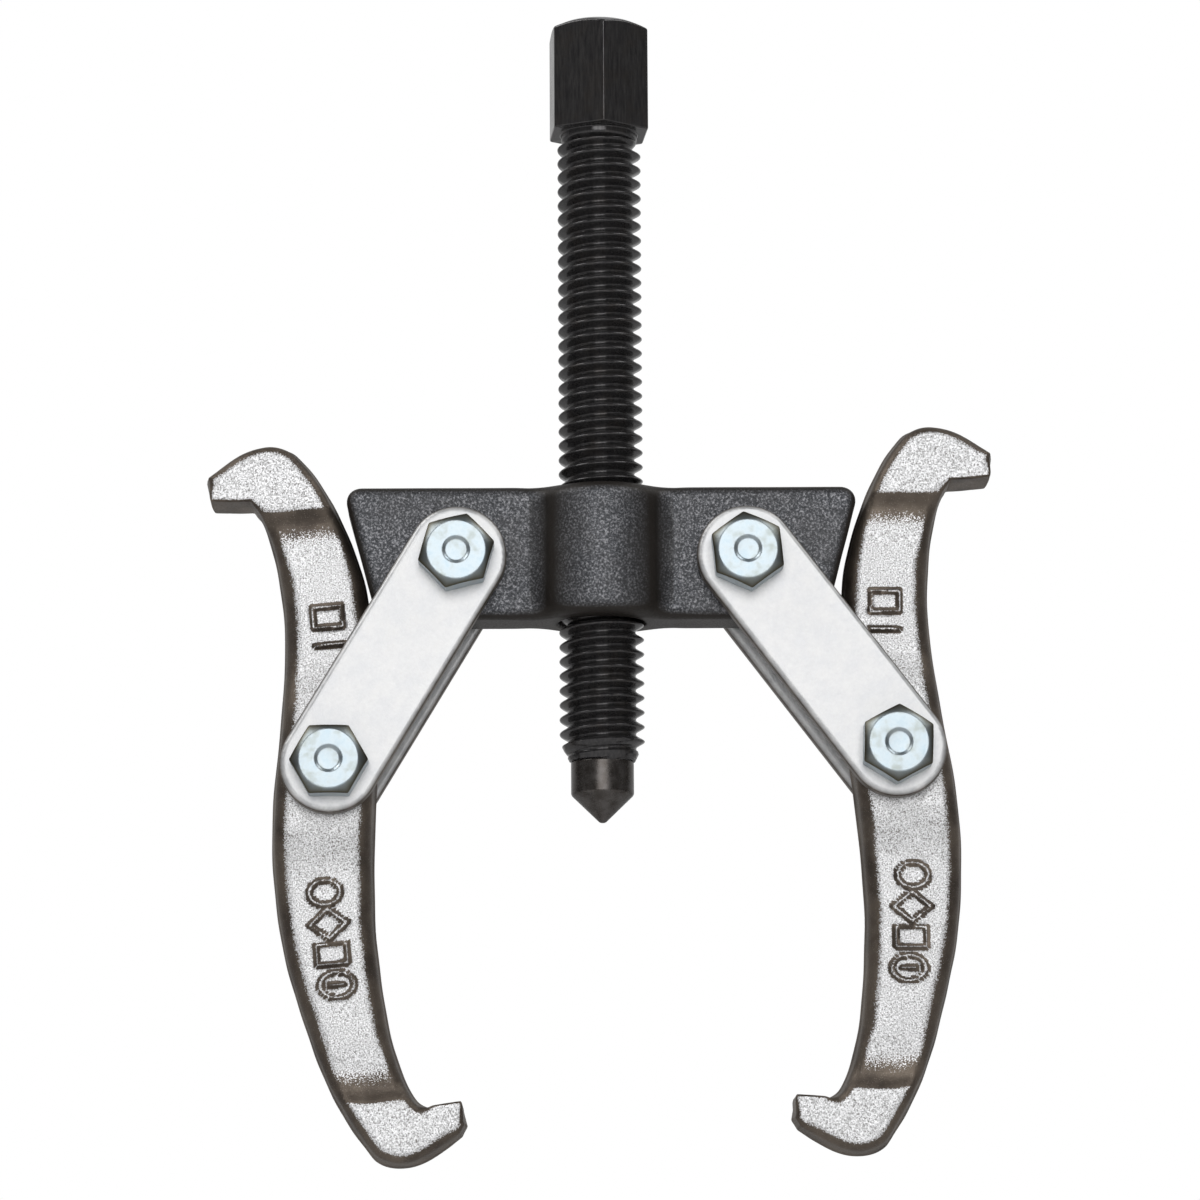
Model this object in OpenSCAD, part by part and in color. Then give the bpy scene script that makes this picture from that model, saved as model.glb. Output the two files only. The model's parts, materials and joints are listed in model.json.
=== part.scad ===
// Reversible two-jaw gear puller, 3 inch (75 mm) size.
// Origin: the tip of the screw point. +Z runs up the forcing screw, +X is the puller's
// right arm and -Y is the side with the bolt heads. Millimetres.

/* [Crossbar] */
// Overall length of the crossbar
bar_length = 72.8; // [70:0.2:73]
// Height of the crossbar
bar_height = 19.3; // [17:0.1:22]
// Thickness of the crossbar's wings
bar_thickness = 10; // [8:0.5:12]
// Slope of the crossbar's ends from the vertical, in degrees
bar_end_slope = 15; // [15:1:20]
// Radius of the central boss
boss_radius = 10; // [9:0.25:11]
// Height of the crossbar's middle above the screw tip, as the puller is set
bar_level = 38.5; // [36:0.5:60]

/* [Forcing screw] */
// Outer diameter of the thread
thread_diameter = 12.2; // [11.8:0.1:12.6]
// Rise of the thread in one turn (12 turns per inch)
thread_pitch = 2.1167; // [1.8:0.01:2.3]
// Overall length of the screw with its point
screw_length = 118.4; // [110:0.1:140]
// Width of the hexagon head across its flats
head_flats = 13.8; // [13:0.1:14.5]
// Height of the hexagon head
head_height = 16.6; // [15:0.1:20]
// Turn of the head about the screw's axis, in degrees
head_turn = 35; // [0:1:60]
// Diameter of the dog behind the point
dog_diameter = 9; // [8:0.1:9.5]
// Length of the dog
dog_length = 4.8; // [3:0.1:6]
// Length of the cone on the point
cone_length = 4; // [3:0.1:5]

/* [Links] */
// Distance between a link's two bolts
link_pitch = 34.8; // [34.8:0.1:36]
// Thickness of one link plate
link_thickness = 3; // [2.5:0.1:3.5]
// Radius of a link's round ends
link_end_radius = 7.1; // [6.8:0.1:7.4]
// Distance of the crossbar's cross bores from the screw's axis
arm_offset = 20.7; // [19:0.1:22]
// Depth of the cross bores below the crossbar's middle
arm_drop = 1; // [0:0.1:2]
// Lean of the left links from the vertical, in degrees
left_link_lean = 31; // [31:0.5:60]
// Lean of the right links from the vertical, in degrees
right_link_lean = 37; // [37:0.5:60]

/* [Jaws] */
// Thickness of a jaw's shaft
jaw_thickness = 7.6; // [7:0.1:10]
// Thickness of a jaw where the links clasp it
hub_thickness = 9.8; // [8:0.1:10]
// Thickness of a jaw's two hooks
hook_thickness = 9; // [8:0.5:18]
// Lean of the left jaw from the vertical, its top outwards, in degrees
left_jaw_lean = 4.8; // [4.8:0.1:8]
// Lean of the right jaw from the vertical, its top outwards, in degrees
right_jaw_lean = 0.3; // [0.3:0.1:8]

/* [Bolts and nuts] */
// Diameter of the bolts that join the links
bolt_diameter = 6; // [5:0.5:6]
// Width of the bolt heads and nuts across their flats
bolt_flats = 9.7; // [9.5:0.1:10]
// Height of a bolt head
bolt_head_height = 4; // [3.5:0.1:5]
// Height of a lock nut
nut_height = 6; // [5:0.5:7]

/* [Hidden] */
$fn = 64;
running_gap = 0.05;      // radial play of every pin and thread in its bore
side_gap = 0.15;         // play between a link plate and what it clasps
hex_sides = 6;           // a hexagon is a circle with this many corners

bar_half = bar_length / 2;
wing_corner = 2.8;       // radius of the crossbar's top corners
wing_heel = 2;           // radius of the crossbar's bottom corners
boss_fillet = 1.5;       // radius between the boss and the wings
boss_chamfer = 1.2;
mouth_chamfer = 0.8;     // chamfer at both ends of the threaded bore

thread_radius = thread_diameter / 2;
thread_depth = 0.58 * thread_pitch;
root_radius = thread_radius - thread_depth;
crest_flat = thread_pitch / 8;
dog_radius = dog_diameter / 2;
dog_top = cone_length + dog_length;
thread_start = dog_top + 1;
head_bottom = screw_length - head_height;
thread_end = head_bottom - 0.6;
thread_turns = floor((thread_end - thread_start) / thread_pitch);
head_corner_radius = head_flats / 2 / cos(30);
head_chamfer = 1.1;
spigot_radius = 2.5;     // stem of the point inside the screw
spigot_length = 6.6;
spigot_end_gap = 0.3;
tip_flat_radius = 0.4;

arm_level = bar_level - arm_drop;
link_inner = bar_thickness / 2 + side_gap;
link_outer = link_inner + link_thickness;
link_end_steps = 24;     // straight pieces round a link's end
bolt_radius = bolt_diameter / 2;
bore_radius = bolt_radius + running_gap;
bolt_corner_radius = bolt_flats / 2 / cos(30);
bolt_face_radius = 4.2;  // round face inside a bolt head's chamfer
bolt_dimple_radius = 2;
bolt_dimple_depth = 0.3;
bolt_end_beyond_nut = 0.9;
insert_height = 1.6;     // nylon ring rolled into the outer end of a lock nut
insert_outer_radius = 4;
nut_crown_radius = 4.5;

jaw_curve_steps = 3;     // straight pieces between two knots of a jaw's outline
edge_layers = [[1.8, 0], [0.6, 0.8], [0, 1.9]]; // depth below the face, setback of the side

// A jaw's outline in its own frame: the pivot is the origin, +X points away from the
// screw and +Y points up. Each list is one smooth stretch, and they meet at corners.
outer_side = [[8.4, 39.3], [6.6, 35.4], [5.3, 28], [5.1, 19], [6.6, 7.5], [8.6, -4],
              [9.4, -14], [8.8, -25], [6.6, -36], [3.4, -46.5], [-0.6, -54],
              [-2.6, -56.3], [-5.6, -57.1], [-9, -56.4], [-14.2, -53.6]];
lower_tip = [[-15.1, -52.2], [-14.5, -48.8]];
inner_side = [[-9.7, -49.1], [-8, -47.9], [-6.3, -43.8], [-5.1, -38], [-4.4, -30],
              [-4.25, -22], [-5.1, -11], [-6.4, 0], [-7.2, 13], [-6.9, 25], [-5.3, 32.5],
              [-2.2, 40.5], [1, 45.5], [3, 47.1], [6, 47.7], [9.6, 46.8], [14.8, 43.6]];
upper_tip = [[14.2, 39.8]];
hub_reach = 9;           // the hub's height above and below the pivot
upper_hook_line = 37.5;  // height at which the upper hook's thick pad begins
lower_hook_line = -46;   // height at which the lower hook's thick pad ends
beyond = 30;             // reach of a cutting box past what it cuts

// Points of an arc about centre c, from angle a to angle b.
function arc(c, r, a, b, steps = 6) =
    [for (i = [0:steps]) let (t = a + (b - a) * i / steps) c + r * [cos(t), sin(t)]];

// The other half of an outline, mirrored in the vertical axis.
function mirrored(p) = [for (i = [len(p) - 1:-1:0]) [-p[i][0], p[i][1]]];

// One point of a smooth curve from b to c, with a before it and d after it.
function bend(a, b, c, d, t) =
    (2 * b + (c - a) * t + (2 * a - 5 * b + 4 * c - d) * t * t
     + (3 * b - a - 3 * c + d) * t * t * t) / 2;

// A smooth curve through all the knots p.
function smooth(p) = concat(
    [for (i = [0:len(p) - 2], k = [0:jaw_curve_steps - 1])
        bend(p[max(i - 1, 0)], p[i], p[i + 1], p[min(i + 2, len(p) - 1)],
             k / jaw_curve_steps)],
    [p[len(p) - 1]]);

// The outline p moved inwards by d; p runs clockwise.
function inset(p, d) = let (n = len(p))
    [for (i = [0:n - 1]) let (along = p[(i + 1) % n] - p[(i + n - 1) % n])
        p[i] + d * [along[1], -along[0]] / norm(along)];

jaw_outline = concat(smooth(outer_side), lower_tip, smooth(inner_side), upper_tip);

// The middle of the link's lower bolt on one side (side is 1 right, -1 left).
function jaw_pivot(side) = let (lean = side > 0 ? right_link_lean : left_link_lean)
    [side * (arm_offset + link_pitch * sin(lean)), 0, arm_level - link_pitch * cos(lean)];

function arm_pivot(side) = [side * arm_offset, 0, arm_level];

// Turns a shape drawn along +Z so that it runs along +Y.
module along_y() {
    rotate([-90, 0, 0]) children();
}

// Stands a flat outline up in the XZ plane, centred on Y = 0.
module upright(thickness) {
    rotate([90, 0, 0]) linear_extrude(thickness, center = true) children();
}

module bar_front() {
    slope = bar_end_slope;
    half = bar_height / 2;
    corner_centre = [bar_half - wing_corner, half - wing_corner];
    heel_z = wing_heel - half;
    heel_x = corner_centre[0] + (wing_corner - wing_heel
             + (heel_z - corner_centre[1]) * sin(slope)) / cos(slope);
    right_half = concat(arc(corner_centre, wing_corner, 90, -slope),
                        arc([heel_x, heel_z], wing_heel, -slope, -90));
    polygon(concat(right_half, mirrored(right_half)));
}

// The concave web that blends the boss into one wing, seen from above.
module boss_web() {
    rise = bar_thickness / 2 + boss_fillet;
    reach = sqrt(pow(boss_radius + boss_fillet, 2) - pow(rise, 2));
    difference() {
        polygon([[0, 0], [reach, 0], [reach, rise]]);
        translate([reach, rise]) circle(boss_fillet);
    }
}

module bar_boss() {
    half = bar_height / 2;
    shoulder = boss_radius - boss_chamfer;
    rotate_extrude() polygon([[0, -half], [shoulder, -half], [boss_radius, boss_chamfer - half],
                              [boss_radius, half - boss_chamfer], [shoulder, half], [0, half]]);
    linear_extrude(bar_height - 2 * boss_chamfer, center = true)
        for (x = [0, 1], y = [0, 1]) mirror([x, 0]) mirror([0, y]) boss_web();
}

module screw_bore() {
    half = bar_height / 2;
    radius = thread_radius + running_gap;
    cylinder(h = bar_height + 2, r = radius, center = true);
    for (end = [0, 1]) mirror([0, 0, end])
        translate([0, 0, half - mouth_chamfer])
            cylinder(h = mouth_chamfer * 2, r1 = radius, r2 = radius + mouth_chamfer * 2);
}

module crossbar() {
    color("#33363b") translate([0, 0, bar_level]) difference() {
        union() {
            upright(bar_thickness) bar_front();
            bar_boss();
        }
        screw_bore();
        for (side = [-1, 1]) translate([side * arm_offset, 0, -arm_drop])
            rotate([90, 0, 0]) cylinder(h = beyond, r = bore_radius, center = true);
    }
}

module hex_head() {
    corner = head_corner_radius;
    intersection() {
        rotate([0, 0, head_turn])
            translate([0, 0, head_bottom]) cylinder(h = head_height, r = corner, $fn = hex_sides);
        rotate_extrude() polygon([[0, head_bottom], [corner, head_bottom],
                                  [corner, screw_length - head_chamfer],
                                  [corner - 2 * head_chamfer, screw_length],
                                  [0, screw_length]]);
    }
}

// The thread is cut as rings, one for each turn.
module thread_rings() {
    ring = [for (i = [0:thread_turns - 1]) let (z = thread_start + i * thread_pitch)
        each [[root_radius, z], [thread_radius, z + (thread_pitch - crest_flat) / 2],
              [thread_radius, z + (thread_pitch + crest_flat) / 2]]];
    rotate_extrude() polygon(concat([[0, dog_top], [root_radius, dog_top]], ring,
                                    [[root_radius, thread_end], [root_radius, head_bottom + 1],
                                     [0, head_bottom + 1]]));
}

module forcing_screw() {
    color("#2b2d31") difference() {
        union() {
            hex_head();
            thread_rings();
        }
        translate([0, 0, dog_top - 1])
            cylinder(h = spigot_length + 1 + spigot_end_gap, r = spigot_radius + running_gap);
    }
}

module screw_point() {
    color("#3a3b3e") rotate_extrude()
        polygon([[0, 0], [tip_flat_radius, 0], [dog_radius, cone_length],
                 [dog_radius, dog_top - running_gap], [spigot_radius, dog_top - running_gap],
                 [spigot_radius, dog_top + spigot_length], [0, dog_top + spigot_length]]);
}

// One body of a jaw whose faces are thickness apart, its edges set back in steps.
module jaw_slab(thickness, low, high) {
    for (layer = edge_layers) upright(thickness - 2 * layer[0]) intersection() {
        polygon(inset(jaw_outline, layer[1]));
        translate([-beyond, low]) square([2 * beyond, high - low]);
    }
}

// A jaw in its own frame, with its outer side towards +X.
module jaw_blank() {
    difference() {
        union() {
            jaw_slab(jaw_thickness, -2 * beyond, 2 * beyond);
            jaw_slab(hub_thickness, -hub_reach, hub_reach);
            jaw_slab(hook_thickness, upper_hook_line, 2 * beyond);
            jaw_slab(hook_thickness, -2 * beyond, lower_hook_line);
        }
        rotate([90, 0, 0]) cylinder(h = beyond, r = bore_radius, center = true);
    }
}

module left_jaw() {
    color("#b9b6b0") translate(jaw_pivot(-1)) rotate([0, -left_jaw_lean, 0])
        mirror([1, 0, 0]) jaw_blank();
}

module right_jaw() {
    color("#b9b6b0") translate(jaw_pivot(1)) rotate([0, right_jaw_lean, 0]) jaw_blank();
}

// A link's outline with its upper bolt at the origin and its lower one below it.
module link_front() {
    polygon(concat(arc([0, 0], link_end_radius, 0, 180, link_end_steps),
                   arc([0, -link_pitch], link_end_radius, 180, 360, link_end_steps)));
}

// A link plate on one side; face is -1 for the front plate and 1 for the rear one.
module link(side, face) {
    lean = side > 0 ? right_link_lean : left_link_lean;
    middle = face * (link_inner + link_thickness / 2);
    color("#d6d5d2") translate(arm_pivot(side) + [0, middle, 0]) rotate([0, -side * lean, 0])
        difference() {
            upright(link_thickness) link_front();
            for (drop = [0, link_pitch]) translate([0, 0, -drop]) rotate([90, 0, 0])
                cylinder(h = 2 * link_thickness, r = bore_radius, center = true);
        }
}

// A bolt whose head bears on the front link; turn is the angle of one of its corners.
module bolt(pivot, turn) {
    face = -link_outer - bolt_head_height;
    corner = bolt_corner_radius;
    chamfer = corner - bolt_face_radius;
    color("#dfe6ea") translate([pivot[0], face, pivot[2]]) along_y() difference() {
        union() {
            intersection() {
                rotate([0, 0, -turn]) cylinder(h = bolt_head_height, r = corner, $fn = hex_sides);
                cylinder(h = bolt_head_height, r1 = bolt_face_radius,
                         r2 = bolt_face_radius + chamfer * bolt_head_height);
            }
            cylinder(h = bolt_head_height + 2 * link_outer + nut_height + bolt_end_beyond_nut,
                     r = bolt_radius);
        }
        translate([0, 0, -1]) cylinder(h = 1 + bolt_dimple_depth, r = bolt_dimple_radius);
    }
}

// A lock nut behind the rear link, with a seat for its nylon ring.
module lock_nut(pivot, turn) {
    corner = bolt_corner_radius;
    body_height = nut_height - insert_height;
    color("#d3dade") translate([pivot[0], link_outer, pivot[2]]) along_y() difference() {
        union() {
            rotate([0, 0, -turn]) cylinder(h = body_height, r = corner, $fn = hex_sides);
            cylinder(h = nut_height, r = nut_crown_radius);
        }
        translate([0, 0, -1]) cylinder(h = nut_height + 2, r = bore_radius);
        translate([0, 0, body_height]) cylinder(h = nut_height, r = insert_outer_radius);
    }
}

module nut_insert(pivot) {
    color("#2f5fa8") translate([pivot[0], link_outer + nut_height - insert_height, pivot[2]])
        along_y() difference() {
            cylinder(h = insert_height, r = insert_outer_radius);
            translate([0, 0, -1]) cylinder(h = insert_height + 2, r = bore_radius);
        }
}

module left_front_link() { link(-1, -1); }
module left_rear_link() { link(-1, 1); }
module right_front_link() { link(1, -1); }
module right_rear_link() { link(1, 1); }
module left_crossbar_bolt() { bolt(arm_pivot(-1), 14); }
module left_jaw_bolt() { bolt(jaw_pivot(-1), 0); }
module right_crossbar_bolt() { bolt(arm_pivot(1), 36); }
module right_jaw_bolt() { bolt(jaw_pivot(1), 28); }
module left_crossbar_nut() { lock_nut(arm_pivot(-1), 50); }
module left_jaw_nut() { lock_nut(jaw_pivot(-1), 22); }
module right_crossbar_nut() { lock_nut(arm_pivot(1), 8); }
module right_jaw_nut() { lock_nut(jaw_pivot(1), 41); }
module left_crossbar_insert() { nut_insert(arm_pivot(-1)); }
module left_jaw_insert() { nut_insert(jaw_pivot(-1)); }
module right_crossbar_insert() { nut_insert(arm_pivot(1)); }
module right_jaw_insert() { nut_insert(jaw_pivot(1)); }

crossbar();
forcing_screw();
screw_point();
left_jaw();
right_jaw();
left_front_link();
left_rear_link();
right_front_link();
right_rear_link();
left_crossbar_bolt();
left_jaw_bolt();
right_crossbar_bolt();
right_jaw_bolt();
left_crossbar_nut();
left_jaw_nut();
right_crossbar_nut();
right_jaw_nut();
left_crossbar_insert();
left_jaw_insert();
right_crossbar_insert();
right_jaw_insert();
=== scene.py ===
import json
import math

import bpy
import numpy as np
from mathutils import Matrix, Vector


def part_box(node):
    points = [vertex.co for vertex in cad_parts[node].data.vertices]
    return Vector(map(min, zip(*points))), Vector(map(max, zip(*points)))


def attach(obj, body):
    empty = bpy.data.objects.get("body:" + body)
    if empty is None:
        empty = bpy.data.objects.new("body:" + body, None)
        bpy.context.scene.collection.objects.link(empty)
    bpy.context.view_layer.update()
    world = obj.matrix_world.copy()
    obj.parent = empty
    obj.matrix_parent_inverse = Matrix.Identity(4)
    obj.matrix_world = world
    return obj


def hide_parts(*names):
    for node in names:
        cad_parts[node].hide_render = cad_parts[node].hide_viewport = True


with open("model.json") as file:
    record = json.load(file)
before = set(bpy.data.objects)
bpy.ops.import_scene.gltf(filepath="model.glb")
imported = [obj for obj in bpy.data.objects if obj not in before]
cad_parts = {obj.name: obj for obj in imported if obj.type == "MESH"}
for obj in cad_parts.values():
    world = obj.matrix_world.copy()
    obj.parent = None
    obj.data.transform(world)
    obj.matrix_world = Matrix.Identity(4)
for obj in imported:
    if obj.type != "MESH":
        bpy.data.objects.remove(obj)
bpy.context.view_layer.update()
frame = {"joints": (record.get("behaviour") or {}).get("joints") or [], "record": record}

MM = 0.001
SIDES = {"left": -1, "right": 1}
JAW_LEAN = {"left": 4.8, "right": 0.3}     # degrees, a jaw's top outwards
SCREW_HEAD_TURN = 35                       # degrees from +X to a corner of the head
# How far each hexagon has been turned about its bolt, in degrees.
BOLT_TURN = {"left_crossbar": 14, "left_jaw": 0, "right_crossbar": 36, "right_jaw": 28}
NUT_TURN = {"left_crossbar": 50, "left_jaw": 22, "right_crossbar": 8, "right_jaw": 41}

record = frame["record"]
JOINTS = {joint["name"]: joint for joint in frame["joints"]}
BODY_OF = {node: body for body, nodes in record["behaviour"]["bodies"].items()
           for node in nodes}


# ---------------------------------------------------------------- places from the frame

def box_mm(node):
    """Lowest and highest corner of a CAD node, in millimetres."""
    low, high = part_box(node)
    return np.array(low) / MM, np.array(high) / MM


def pivot_mm(joint):
    """Where a joint's axis crosses the puller's middle plane, in millimetres."""
    return np.array(JOINTS[joint]["pos_m"]) / MM


BAR_LOW, BAR_HIGH = box_mm("crossbar")
BAR_LEVEL = (BAR_LOW[2] + BAR_HIGH[2]) / 2
BAR_HALF_HEIGHT = (BAR_HIGH[2] - BAR_LOW[2]) / 2
BAR_HALF_LENGTH = BAR_HIGH[0]
BOSS_RADIUS = BAR_HIGH[1]
WING_HALF = 5                              # half the thickness of a wing
THREAD_RADIUS = 6.1
THREAD_PITCH = 2.1167                      # 12 turns to the inch
ROOT_RADIUS = THREAD_RADIUS - 0.58 * THREAD_PITCH
SCREW_TOP = box_mm("forcing_screw")[1][2]
SCREW_HEAD_HEIGHT = 16.6
SCREW_HEAD_FLATS = 13.8                    # across the head's flats
HEAD_BOTTOM = SCREW_TOP - SCREW_HEAD_HEIGHT
DOG_TOP = box_mm("forcing_screw")[0][2]
DOG_RADIUS = box_mm("screw_point")[1][0]
CONE_TOP = 4                               # height of the point's cone
STEM_RADIUS = 2.5                          # the point's stem, up inside the screw
STEM_LENGTH = 6.6
BOLT_FLATS = 9.7                           # across a bolt head's or a nut's flats
BOLT_RADIUS = 3
BORE_RADIUS = 3.05
LINK_INNER = box_mm("left_rear_link")[0][1]
LINK_OUTER = box_mm("left_rear_link")[1][1]
LINK_HALF = (LINK_OUTER - LINK_INNER) / 2  # half a plate's thickness
LINK_MIDDLE = (LINK_INNER + LINK_OUTER) / 2
LINK_RADIUS = 7.1
ARM_PIVOT = {side: pivot_mm(f"{side}_link_swing") for side in SIDES}
JAW_PIVOT = {side: pivot_mm(f"{side}_jaw_tilt") for side in SIDES}
LINK_PITCH = np.linalg.norm(ARM_PIVOT["left"] - JAW_PIVOT["left"])


# ---------------------------------------------------------------- meshes

CURVE_REACH = 0.4                          # how far off a surface's curve is measured

def as_object(name, points, faces, attributes=None):
    """A mesh object from points in millimetres, faces and numbers kept at the points."""
    mesh = bpy.data.meshes.new(name)
    mesh.from_pydata((np.asarray(points) * MM).tolist(), [], faces)
    mesh.update()
    for key, values in (attributes or {}).items():
        layer = mesh.attributes.new(key, "FLOAT", "POINT")
        layer.data.foreach_set("value", np.asarray(values, np.float32))
    obj = bpy.data.objects.new(name, mesh)
    bpy.context.scene.collection.objects.link(obj)
    return obj


def place(obj, node, material):
    """Gives a finished piece its material and lets it stand for its CAD node."""
    obj.data.materials.append(material)
    obj.data.polygons.foreach_set("use_smooth", [True] * len(obj.data.polygons))
    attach(obj, BODY_OF[node])
    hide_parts(node)


def round_max(a, b, radius):
    """Distance to the overlap of two shapes, with the edge between them rounded."""
    corner = np.hypot(np.maximum(a + radius, 0), np.maximum(b + radius, 0))
    return np.minimum(np.maximum(a, b), -radius) + corner


def round_min(a, b, radius):
    """Distance to two shapes joined, with the corner between them filled in."""
    return -round_max(-a, -b, radius)


def surface_net(field, low, high, cell):
    """Points and quads of the surface where field is 0; field is below 0 inside."""
    axes = [np.arange(low[k] - 1.63 * cell, high[k] + 2.6 * cell, cell) for k in range(3)]
    values = field(*np.meshgrid(*axes, indexing="ij"))
    cells = tuple(n - 1 for n in values.shape)
    total = np.zeros((np.prod(cells), 3))
    count = np.zeros(np.prod(cells))
    quads = []
    for axis in range(3):
        first = values.take(range(cells[axis]), axis)
        second = values.take(range(1, cells[axis] + 1), axis)
        crossed = (first < 0) != (second < 0)
        index = np.argwhere(crossed)
        first, second = first[crossed], second[crossed]
        crossing = index.astype(float)
        crossing[:, axis] += first / (first - second)
        b, c = (axis + 1) % 3, (axis + 2) % 3
        corners = []
        for step_b, step_c in ((-1, -1), (0, -1), (0, 0), (-1, 0)):
            around = index.copy()
            around[:, b] += step_b
            around[:, c] += step_c
            flat = np.ravel_multi_index(around.T, cells)
            corners.append(flat)
            count += np.bincount(flat, minlength=len(count))
            for k in range(3):
                total[:, k] += np.bincount(flat, crossing[:, k], minlength=len(count))
        quad = np.stack(corners, 1)
        inward = first > 0
        quad[inward] = quad[inward, ::-1]
        quads.append(quad)
    quads = np.concatenate(quads)
    used, quads = np.unique(quads, return_inverse=True)
    start = np.array([axis[0] for axis in axes])
    points = start + cell * total[used] / count[used, None]
    return points, quads.reshape(-1, 4)


def gradient(field, points, reach):
    """How steeply field rises along each axis at each point."""
    steps = np.eye(3) * reach
    return np.stack([(field(*(points + s).T) - field(*(points - s).T)) / (2 * reach)
                     for s in steps], 1)


def sculpt(name, field, low, high, cell, move, skipped=None):
    """A closed piece whose surface is where field is 0, moved to its place.
    Its points carry how flat they face front or back, less what skipped gives for
    them, and how the surface curves."""
    points, quads = surface_net(field, low, high, cell)
    for _ in range(3):
        slope = gradient(field, points, cell / 8)
        steep = np.maximum((slope ** 2).sum(1), 0.1)
        shift = slope * (field(*points.T) / steep)[:, None]
        points = points - np.clip(shift, -cell / 2, cell / 2)
    normals = gradient(field, points, cell / 6)
    normals /= np.linalg.norm(normals, axis=1)[:, None]
    middle = field(*points.T)
    curve = sum(field(*(points + s).T) + field(*(points - s).T) - 2 * middle
                for s in np.eye(3) * CURVE_REACH) / CURVE_REACH ** 2
    origin = move(np.zeros((1, 3)))
    facing = np.abs(normals[:, 1])
    if skipped is not None:
        facing = facing - skipped(*points.T)
    marks = {"facing": facing, "curve": curve}
    obj = as_object(name, move(points), quads.tolist(), marks)
    turned = move(normals) - origin
    if np.linalg.det(move(np.eye(3)) - origin) < 0:
        obj.data.flip_normals()
    obj.data.normals_split_custom_set_from_vertices(turned.tolist())
    return obj


def soften(profile, cut, closed=False, steps=5):
    """A profile with each of its corners replaced by a short curve."""
    rows = [] if closed else [profile[0]]
    count = len(profile)
    for i in range(0 if closed else 1, count if closed else count - 1):
        corner = profile[i]
        ends = []
        for other in (profile[i - 1], profile[(i + 1) % count]):
            away = other - corner
            length = np.maximum(np.linalg.norm(away, axis=-1, keepdims=True), 1e-6)
            ends.append(corner + away * np.minimum(cut / length, 0.45))
        for t in np.linspace(0, 1, steps):
            rows.append((1 - t) ** 2 * ends[0] + 2 * t * (1 - t) * corner + t * t * ends[1])
    return rows if closed else rows + [profile[-1]]


def hexagon(flats, corner_round=0.35, steps=16):
    """Angles from a corner round a hexagon, in degrees, and its radius at each."""
    spread = 30 + 30 * np.sin(np.radians(np.linspace(-90, 90, steps, endpoint=False)))
    angles = np.concatenate([60 * k + spread for k in range(6)])
    from_corner = np.radians(np.abs((angles + 30) % 60 - 30))
    from_flat = math.radians(30) - from_corner
    half = flats / 2
    centre = (half - corner_round) / math.cos(math.radians(30))
    inside = np.maximum(corner_round ** 2 - (centre * np.sin(from_corner)) ** 2, 0)
    arc = centre * np.cos(from_corner) + np.sqrt(inside)
    on_arc = np.tan(from_flat) * half > (half - corner_round) * math.tan(math.radians(30))
    return angles, np.where(on_arc, arc, half / np.cos(from_flat))


def revolve(profile, angles, cut=0.2, closed=False):
    """Points and faces of a profile turned round the Z axis.
    profile is a list of (radius, height); a radius may differ from angle to angle.
    An open profile starts and ends on the axis; a closed one makes a ring."""
    columns = len(angles)
    rows = [np.stack([np.broadcast_to(np.asarray(radius, float), columns),
                      np.broadcast_to(np.asarray(height, float), columns)], -1)
            for radius, height in profile]
    rows = soften(rows, cut, closed)
    turn = np.radians(angles)
    points = []
    faces = []
    ring = []
    for row in rows:
        if row[:, 0].max() < 1e-9:
            ring.append([len(points)] * columns)
            points.append([0, 0, row[0, 1]])
            continue
        ring.append(list(range(len(points), len(points) + columns)))
        points += np.stack([row[:, 0] * np.cos(turn), row[:, 0] * np.sin(turn),
                            row[:, 1]], 1).tolist()
    pairs = list(zip(ring, ring[1:])) + ([(ring[-1], ring[0])] if closed else [])
    for lower, upper in pairs:
        for j in range(columns):
            k = (j + 1) % columns
            corners = dict.fromkeys((lower[j], lower[k], upper[k], upper[j]))
            faces.append(list(corners))
    return np.array(points), faces


def crisp(obj):
    """Keeps flat faces flat where they meet a softened edge."""
    obj.data.set_sharp_from_angle(angle=math.radians(40))
    flat = obj.modifiers.new("flat_faces", "WEIGHTED_NORMAL")
    flat.keep_sharp = True
    return obj


def along_y(points):
    """Lays a piece that was turned round +Z so that it runs along +Y."""
    x, y, z = np.asarray(points).T
    return np.stack([x, z, -y], 1)


# ---------------------------------------------------------------- materials

def grain(nodes, links, size_mm, detail=3, roughness=0.55, kind="ShaderNodeTexNoise",
          upright=1.0):
    """A noise texture in the piece's own space, its features size_mm across and
    upright times as tall."""
    where = nodes.new("ShaderNodeTexCoord")
    noise = nodes.new(kind)
    noise.inputs["Scale"].default_value = 1 / (size_mm * MM)
    if kind == "ShaderNodeTexNoise":
        noise.inputs["Detail"].default_value = detail
        noise.inputs["Roughness"].default_value = roughness
    squeeze = nodes.new("ShaderNodeVectorMath")
    squeeze.operation = "MULTIPLY"
    squeeze.inputs[1].default_value = (1, 1, 1 / upright)
    links.new(where.outputs["Object"], squeeze.inputs[0])
    links.new(squeeze.outputs["Vector"], noise.inputs["Vector"])
    return noise


def ramp(nodes, links, value, stops):
    """A colour ramp over value; stops are (position, colour or grey level)."""
    node = nodes.new("ShaderNodeValToRGB")
    points = node.color_ramp.elements
    while len(points) < len(stops):
        points.new(0.5)
    for point, (position, colour) in zip(points, stops):
        point.position = position
        grey = (colour,) * 3 if np.isscalar(colour) else tuple(colour)
        point.color = grey + (1,)
    links.new(value, node.inputs["Fac"])
    return node.outputs["Color"]


def mix(nodes, links, factor, first, second):
    """Blends two colours; each may be a fixed colour or another node's output."""
    node = nodes.new("ShaderNodeMix")
    node.data_type = "RGBA"
    for socket, value in ((node.inputs["Factor"], factor), (node.inputs["A"], first),
                          (node.inputs["B"], second)):
        if isinstance(value, bpy.types.NodeSocket):
            links.new(value, socket)
        elif np.isscalar(value):
            socket.default_value = value
        else:
            socket.default_value = tuple(value) + (1,)
    return node.outputs["Result"]


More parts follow.
